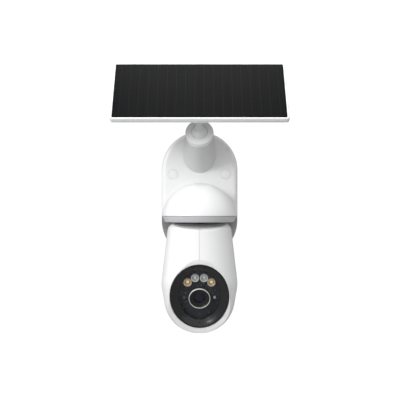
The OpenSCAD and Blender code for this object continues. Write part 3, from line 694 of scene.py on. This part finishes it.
def slot_cutter():
    """The tilt slot over the top and down the back: a band about the shaft between two angles behind the upright."""
    behind = np.radians(np.linspace(17, 92, 40))
    ring = np.array([(-8.5, 30), (8.5, 30), (8.5, 60), (-8.5, 60)], float)
    rows = np.stack([np.broadcast_to(ring[:, 0], (40, 4)), ring[None, :, 1] * np.sin(behind)[:, None],
                     ring[None, :, 1] * np.cos(behind)[:, None]], -1)
    ends = rows[[0, -1]].mean(1, keepdims=True) + 0 * rows[[0, -1]]
    return np.concatenate([ends[:1], rows, ends[1:]]) + tilt_at


head = piece("head_shells", *head_form(), closed=(False, False), merge=0.002, crease=40)
cavity = piece("cavity", *head_form(2.5), closed=(False, False), merge=0.002)
carve(cavity, piece("front_stop", on_face(bar((-90, 90), (-90, 90), (-3, 60)))))
port_face = 37.7
cuts = [
    cavity,
    piece("face_cut", on_face(bar((-90, 90), (-90, 90), (0, 60)))),
    piece("oval_cut", on_face(ovals([
        (0, 0, 0, -12), (34.35, 40.35, 0, -12), (34.35, 40.35, 0, -0.7), (34.45, 40.45, 0, -0.25),
                                     (34.8, 40.8, 0, 0), (35.8, 41.8, 0, 1), (0, 0, 0, 1)]))),
    piece("slot_cut", slot_cutter()),
    piece("port_cut", round_back(bar((-11, 11), (port_face, 70), (-5.5, 5.5)), -38, -42)),
    piece("power_cut", round_back(turned([(0, 30), (4.05, 30), (4.05, 60), (0, 60)])[..., [0, 2, 1]], 38, -36)),
    piece("reset_cut", round_back(turned([(0, 30), (1.55, 30), (1.55, 60), (0, 60)], 32)[..., [0, 2, 1]], 38, -50)),
]
for x in (-2.2, 2.2):
    for y in (4, 8, 12):
        hole = turned([(0, -95), (0.8, -95), (0.8, -70), (0, -70)], 20) + [x, y, 0] + tilt_at
        cuts.append(piece("sound_hole", hole))
for y, z in ((33, -20), (29.5, -62)):
    cuts.append(piece(
        "screw_well", (turned([(0, 8), (3, 8), (3, 60), (0, 60)], 40)[..., [2, 1, 0]] + [0, y, z]) + tilt_at))


def seam_cutter():
    """A groove a third of a millimetre wide in the middle plane: the skin's middle line, drawn in 0.8 and out 2."""
    front, back, top = head_form()
    path = (np.concatenate([front[:, 36][::-1], top[36][1:], back[1:-1, 36]]) - tilt_at)[:, 1:]
    way = np.roll(path, -1, 0) - np.roll(path, 1, 0)
    normal = np.stack([-way[:, 1], way[:, 0]], -1)
    normal /= np.maximum(np.linalg.norm(normal, axis=1, keepdims=True), 1e-9)
    normal *= np.sign((normal * (path - [0, -20])).sum(1, keepdims=True))
    rows = [np.concatenate([np.full((len(path), 1), x), path + out * normal], -1)
            for x, out in ((-0.17, -0.8), (0.17, -0.8), (0.17, 2), (-0.17, 2))]
    ring = np.stack(rows, 1)
    return ring + tilt_at


cuts.append(piece("seam_cut", seam_cutter(), closed=(True, True), merge=0.001))
carve(head, *cuts, crease=40)
dressed(head, head_white, "head")
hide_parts("head_shell_left", "head_shell_right")

# ---- Face bezel ----
# The black oval surround: a glossy moulding pressed into the head, that slopes in from its rim to the window.
# A pin hole near its foot lets sound in to the microphone.
piano = Paint("piano_black")
piano_black = piano.gloss(
    base_color=piano.blend(piano.cloud(0.02), (0.006, 0.006, 0.007), (0.01, 0.01, 0.011)),
    roughness=0.2 + 0.06 * piano.cloud(0.004, 4), coat_weight=0.2, coat_roughness=0.1, specular_ior_level=0.5)
bezel = piece("face_surround", on_face(ovals([
    (23.75, 31.45, 0, -4.65), (25.2, 32.9, 0, -4.68), (25.2, 32.9, 0, -5.9), (33.6, 39.6, 0, -5.9),
    (33.8, 39.8, 0, -5.5), (33.8, 39.8, 0, 0.2), (33.6, 39.6, 0, 0.65), (33.2, 39.2, 0, 0.8),
    (32.6, 38.6, 0, 0.72), (31.5, 37.6, 0, 0.25), (28.8, 35.4, 0, -1.55), (26.0, 33.1, 0, -3.2),
    (24.3, 31.9, 0, -3.9), (23.8, 31.5, 0, -4.2)])), closed=(True, True))
carve(bezel, piece("sound_pin", on_face(turned([(0, -7), (0.6, -7), (0.6, 2), (0, 2)], 24), 0, -34.4)))
dressed(bezel, piano_black, "head")
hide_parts("face_bezel")

# ---- Face window ----
# A smoked acrylic oval behind the bezel, over the lamps and sensors, with a round opening for the lens.
lens_v = -4.6
smoke = Paint("smoked_window")
smoked = smoke.gloss(
    base_color=smoke.blend(smoke.cloud(0.01), (0.02, 0.022, 0.026), (0.04, 0.042, 0.048)),
    roughness=0.16 + 0.05 * smoke.cloud(0.006, 3), alpha=0.15 + 0.04 * smoke.cloud(0.02), coat_weight=0.2)
smoked.surface_render_method = "DITHERED"
window = piece("smoked_window", on_face(ovals([
    (12.85, 12.85, lens_v, -4.95), (13.0, 13.0, lens_v, -4.8), (24.8, 32.5, 0, -4.8), (24.95, 32.65, 0, -4.95),
    (24.95, 32.65, 0, -5.95), (12.85, 12.85, lens_v, -5.95)])), closed=(True, True))
dressed(window, smoked, "head")
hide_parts("face_window")
repaint("face_seal", moulded("seal_rubber", (0.03, 0.03, 0.032), 0.8, 0.0004, 0.00004))

# ---- Lens ----
# A pale metal trim ring round a black stepped barrel, whose steps throw rings of light, and a domed coated front
# glass, whose violet reflection is painted into its colour, strongest in the middle. Two smaller glasses sit deeper in
# the barrel.


def on_lens(profile, steps=120):
    """A profile (radius, distance out of the face) turned about the lens's own axis."""
    return on_face(turned(profile, steps), 0, lens_v)


satin = Paint("satin_trim")
trim = satin.gloss(
    base_color=satin.blend(satin.cloud(0.002, 3), (0.9, 0.87, 0.82), (0.8, 0.77, 0.72)), metallic=0.1,
    roughness=0.3 + 0.08 * satin.cloud(0.001, 3))
lens_trim = piece("lens_trim_ring", on_lens([
    (11.75, -6.45), (12.35, -6.45), (12.45, -6.3), (12.45, -4.1), (12.35, -3.8), (12.15, -3.64), (11.9, -3.7),
    (11.75, -4.0)]), closed=(True, True))
dressed(lens_trim, trim, "head")
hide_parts("lens_ring")
tube_black = moulded("barrel_black", (0.01, 0.01, 0.011), 0.34, 0.0002, 0.000006)
barrel = piece("stepped_barrel", on_lens([
    (4.55, -19.5), (10.35, -19.5), (10.45, -19.3), (10.45, -6.5), (11.68, -6.4), (11.7, -4.4), (11.5, -4.25),
    (11.2, -4.3), (10.6, -4.9), (9.95, -5.05), (9.85, -5.35), (9.1, -5.5), (9.0, -5.85), (8.2, -6.05), (8.1, -6.4),
    (7.3, -6.6), (7.2, -6.9), (6.75, -7.0), (6.62, -7.2), (6.62, -11.9), (4.55, -11.9)]), closed=(True, True))
dressed(barrel, tube_black, "head")
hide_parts("lens_barrel")
coated = Paint("coated_glass")
off_x, _, off_z = coated.axes()
lens_centre = on_face(np.zeros((1, 1, 3)), 0, lens_v)[0, 0] / 1000
off_axis = (off_x * off_x + (off_z - float(lens_centre[2])) * (off_z - float(lens_centre[2]))) ** 0.5
# Painted reflection: violet in the middle of the front glass, fading to dark navy about 6 mm out.
painted_violet_reflection = coated.blend(coated.cloud(0.004), (0.012, 0.011, 0.03), (0.03, 0.014, 0.045))
glass_with_painted_reflection = coated.gloss(
    base_color=coated.blend(off_axis * 170, painted_violet_reflection, (0.008, 0.012, 0.02)), roughness=0.06, coat_weight=0.15,
    coat_roughness=0.03, alpha=0.9, specular_ior_level=0.35)
glass_with_painted_reflection.surface_render_method = "DITHERED"
dome_glass = piece("front_glass", on_lens(
    [(0, -10.95), (6.4, -10.95), (6.5, -10.8), (6.5, -8.15)] + [(15.3 * sin(a), 15.3 * cos(a) - 21.95)
     for a in np.linspace(0.42, 0, 14)]), crease=60)
dressed(dome_glass, glass_with_painted_reflection, "head")
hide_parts("lens_glass")
deep = Paint("deep_glass")
repaint("lens_elements", deep.gloss(
    base_color=deep.blend(deep.cloud(0.003), (0.02, 0.05, 0.05), (0.03, 0.04, 0.07)), roughness=0.08, coat_weight=0.7))

# ---- Printed boards ----
# Boards of glass cloth under a coloured lacquer, with tracks that show through it and tinned pads: the lamp board is
# black behind the window, and those in the head, the hood and behind the ports are green.


def printed(name, lacquer, lighter):
    """Tracks run along the borders between random cells, and pads are spots round the cells' middles."""
    paint = Paint(name)
    border = paint.node(
        "ShaderNodeTexVoronoi", {"feature": "DISTANCE_TO_EDGE"}, {"Vector": paint.place, "Scale": 420.0})
    middle_of = paint.node("ShaderNodeTexVoronoi", None, {"Vector": paint.place, "Scale": 300.0})
    pads = middle_of < 0.13
    coat = paint.blend((border < 0.07) * 0.7, paint.blend(paint.cloud(0.01), lacquer, lighter), lighter)
    return paint.gloss(base_color=paint.blend(pads, coat, (0.6, 0.58, 0.53)), metallic=pads * 0.8,
                       roughness=0.36 + 0.1 * paint.cloud(0.005), normal=paint.relief(border, 0.00002, 0.5))


repaint("led_board", printed("lamp_board_black", (0.014, 0.016, 0.02), (0.05, 0.056, 0.068)))
green = printed("board_green", (0.01, 0.085, 0.04), (0.02, 0.16, 0.075))
for node in ("sensor_board", "main_board", "port_board", "button_board", "antenna_board"):
    repaint(node, green)

# ---- Lamps ----
# Four bright cups stand on the board round the lens's top: the outer pair hold yellow chips for warm white light,
# and the inner pair clear ones for infrared light. Cups and chips carry a painted glow, and the cups a painted shade
# deep inside.
cup_profile = [(1.85, -9.95), (4.6, -9.95), (4.68, -9.8), (4.68, -6.65), (4.6, -6.45), (4.35, -6.42), (4.2, -6.6),
               (3.95, -7.2), (3.5, -7.95), (2.9, -8.55), (2.3, -8.88), (1.85, -9.0)]
chip_profile = [(0, -9.95), (1.66, -9.95), (1.68, -9.1), (1.5, -8.8), (1.1, -8.66), (0.5, -8.62), (0, -8.62)]


def lamp_pair(name, spots, cup_colour, chip_colour, painted_glow, chip_node):
    """A pair of cups and the pair of chips in them, each pair in its own material. Each cup is painted half as bright
    deeper than 7.6 mm behind the face, a painted shade, and cups and chips carry a painted glow.
    """
    silver = Paint(name + "_cup")
    streaks = silver.cloud(0.0008, 3)
    _, back_y, up_z = silver.axes()
    height = (face_at[1] / 1000 - back_y) * cos(pitch) + (face_at[2] / 1000 - up_z) * sin(pitch)
    # Painted shade: deeper than 7.6 mm behind the face, the cup's colour is halved.
    rim = height > -0.0076
    shade = silver.blend(rim, tuple(c * 0.5 for c in cup_colour), cup_colour)
    # Painted glow: the cups emit their colour, painted shade included.
    cup_paint_with_glow = silver.gloss(
        base_color=silver.blend(streaks * 0.3, shade, (0.3, 0.29, 0.27)), metallic=0.5,
        roughness=0.25 + 0.1 * streaks, emission_color=shade, emission_strength=painted_glow * 0.45)
    cups = piece(name + "_cups", *[on_face(turned(cup_profile, 48), u, v) for u, v in spots], closed=(True, True))
    dressed(cups, cup_paint_with_glow, "head")
    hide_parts("reflector_cups")
    resin = Paint(name + "_chip")
    # Painted glow: the chips emit their own colour.
    chip_paint_with_glow = resin.gloss(
        base_color=resin.blend(resin.cloud(0.0006), chip_colour, tuple(c * 0.85 for c in chip_colour)), roughness=0.2,
        emission_color=chip_colour, emission_strength=painted_glow)
    chips = piece(name + "_chips", *[on_face(turned(chip_profile, 40), u, v) for u, v in spots])
    dressed(chips, chip_paint_with_glow, "head")
    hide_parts(chip_node)


lamp_pair("warm", [(-13.7, 14.6), (13.7, 14.6)], (0.86, 0.68, 0.46), (1.0, 0.84, 0.55), 0.6, "white_leds")
lamp_pair("infrared", [(-5.2, 20.2), (5.2, 20.2)], (0.74, 0.78, 0.76), (0.5, 0.53, 0.53), 0.7, "infrared_leds")

# ---- Light sensor and status light ----
# Two little domes on the board beside the lens: a clear one that measures daylight, and a red-orange one that is off.
# Both carry a faint painted glow in their own colour.


def dome_on_board(name, radius, u, v, colour, painted_glow, node):
    """A short post with a round top, whose foot stands on the lamp board."""
    profile = [(0, -9.95), (radius, -9.95)] + [(x, y) for x, y in arc((0, -6.65 - radius), radius, 0, 90, 10)]
    profile[-1] = (0, -6.65)
    made = piece(name, on_face(turned(profile, 32), u, v), crease=50)
    paint = Paint(name + "_resin")
    # Painted glow: the dome emits its own colour.
    dressed(made, paint.gloss(
        base_color=paint.blend(paint.cloud(0.001), colour, tuple(c * 0.85 for c in colour)), roughness=0.18,
        emission_color=colour, emission_strength=painted_glow), "head")
    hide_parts(node)


dome_on_board("daylight_dome", 1.55, 17.6, -5, (0.6, 0.63, 0.66), 0.12, "light_sensor")
dome_on_board("status_dome", 1.15, -18, -5.4, (0.24, 0.2, 0.19), 0.05, "status_light")

# ---- Back plate and wall seal ----
# A ribbed grey moulding closes the wall side of the bracket, with a foam ring that is squeezed against the wall.
# Both are the exact solids.
repaint("back_plate", moulded("back_plate_grey", (0.28, 0.282, 0.286), 0.55, 0.0005, 0.00004))
repaint("wall_seal", moulded("foam_seal", (0.035, 0.035, 0.037), 0.88, 0.0006, 0.00012, 0.2))

# ---- Screws and shaft ----
# Zinc-plated steel: the screws that hold each moulding, and the shaft that the head nods on.
# The one screw that shows from the front has a white cap.


def plated(name, colour, roughness):
    """Bright metal with fine lines of the tool round it, and spots that have dulled."""
    paint = Paint(name)
    lines = paint.cloud(0.0005, 3, (1, 1, 9))
    return paint.gloss(
        base_color=paint.blend(lines, colour, tuple(c * 0.78 for c in colour)),
        metallic=0.96 + 0.04 * paint.cloud(0.004),
        roughness=roughness + 0.18 * lines, normal=paint.relief(lines, 0.000006, 0.6))


zinc = plated("zinc_plated", (0.63, 0.62, 0.6), 0.26)
for node in ("back_plate_screws", "arm_screws", "tilt_shaft", "head_screws", "panel_screws"):
    repaint(node, zinc)
softened(
    "arm_cover_screw", "cover_screw", 0.2, moulded("capped_screw_white", (0.84, 0.842, 0.846), 0.45), "housing")

# ---- Motors, bracket and gears ----
# Two stepping motors in drawn tin cans, one for each axis. Acetal gears take their turn to the disc and to the shaft.
can = plated("drawn_can", (0.56, 0.56, 0.57), 0.32)
for node in ("pan_motor", "tilt_motor", "motor_bracket"):
    repaint(node, can)
acetal = moulded("acetal_gears", (0.74, 0.72, 0.66), 0.36, 0.0004, 0.00001)
for node in ("pan_gear", "pan_pinion", "tilt_gear", "tilt_pinion"):
    repaint(node, acetal)

# ---- Hood floor, yoke and shutter ----
# Dark grey mouldings inside: the floor of the hood, the arm from the disc to the shaft, and the band that keeps the
# slot behind the head shut as it nods.
repaint("hood_base", moulded("hood_floor_grey", (0.2, 0.202, 0.206), 0.55, 0.0005, 0.00003))
repaint("yoke_arm", moulded("yoke_grey", (0.22, 0.222, 0.226), 0.5, 0.0004, 0.00003))
softened(
    "slot_shutter", "slot_band", 0.2, moulded("shutter_grey", (0.3, 0.302, 0.308), 0.46), "turntable")
repaint("swivel_socket", socket_grey)

# ---- Battery ----
# Two round cells in a shrunk blue sleeve with a pale end band, held in a grey tray at the back of the head.
# All of it is hidden inside.
sleeve = Paint("cell_sleeve")
cell_up = sleeve.axes()[2]
low_end = float(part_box("battery_cells")[0].z) + 0.004
sleeve_blue = sleeve.blend(sleeve.cloud(0.006), (0.03, 0.12, 0.3), (0.04, 0.15, 0.36))
repaint("battery_cells", sleeve.gloss(
    base_color=sleeve.blend(cell_up < low_end, sleeve_blue, (0.6, 0.62, 0.64)),
    roughness=0.3 + 0.1 * sleeve.cloud(0.003, 3), normal=sleeve.relief(sleeve.cloud(0.002, 3), 0.00003)))
repaint("battery_tray", moulded("tray_grey", (0.24, 0.242, 0.246), 0.5))

# ---- Sound ----
# A small speaker under the chin with a black cone and frame,
# and a silver capsule microphone behind the bezel's pin hole.
repaint("speaker", moulded("speaker_black", (0.022, 0.022, 0.024), 0.6, 0.0003, 0.00004, 0.2))
repaint("microphone", plated("capsule", (0.7, 0.7, 0.71), 0.3))

# ---- Controls and ports ----
# On the back: a round power button, a pin-sized reset button, and a soft grey plug that seals the card and the socket.
# Both buttons and the plug move, each on its own joint.
soft_grey = moulded("soft_grey", (0.42, 0.424, 0.43), 0.62, 0.0003, 0.00002)
softened("power_button", "power_key", 0.3, soft_grey, "power_button")
repaint("reset_button", soft_grey)
softened(
    "port_plug", "port_cover", 0.4, moulded("plug_grey", (0.5, 0.504, 0.51), 0.66, 0.0004, 0.00002), "port_plug")
repaint("memory_card", moulded("card_black", (0.02, 0.02, 0.022), 0.42))

# ---- Solar cells and inlet ----
# The silicon behind the laminate, and the round black socket on the side of the box where a lead would plug in.
# Both are the exact solids, and the cells lie hidden under the laminate.
wafer = Paint("bare_silicon")
repaint("solar_cells", wafer.gloss(
    base_color=wafer.blend(wafer.cloud(0.002, 3), (0.01, 0.014, 0.03), (0.018, 0.022, 0.04)),
    roughness=0.3, metallic=0.4))
repaint("panel_inlet", moulded("inlet_black", (0.02, 0.02, 0.021), 0.5))
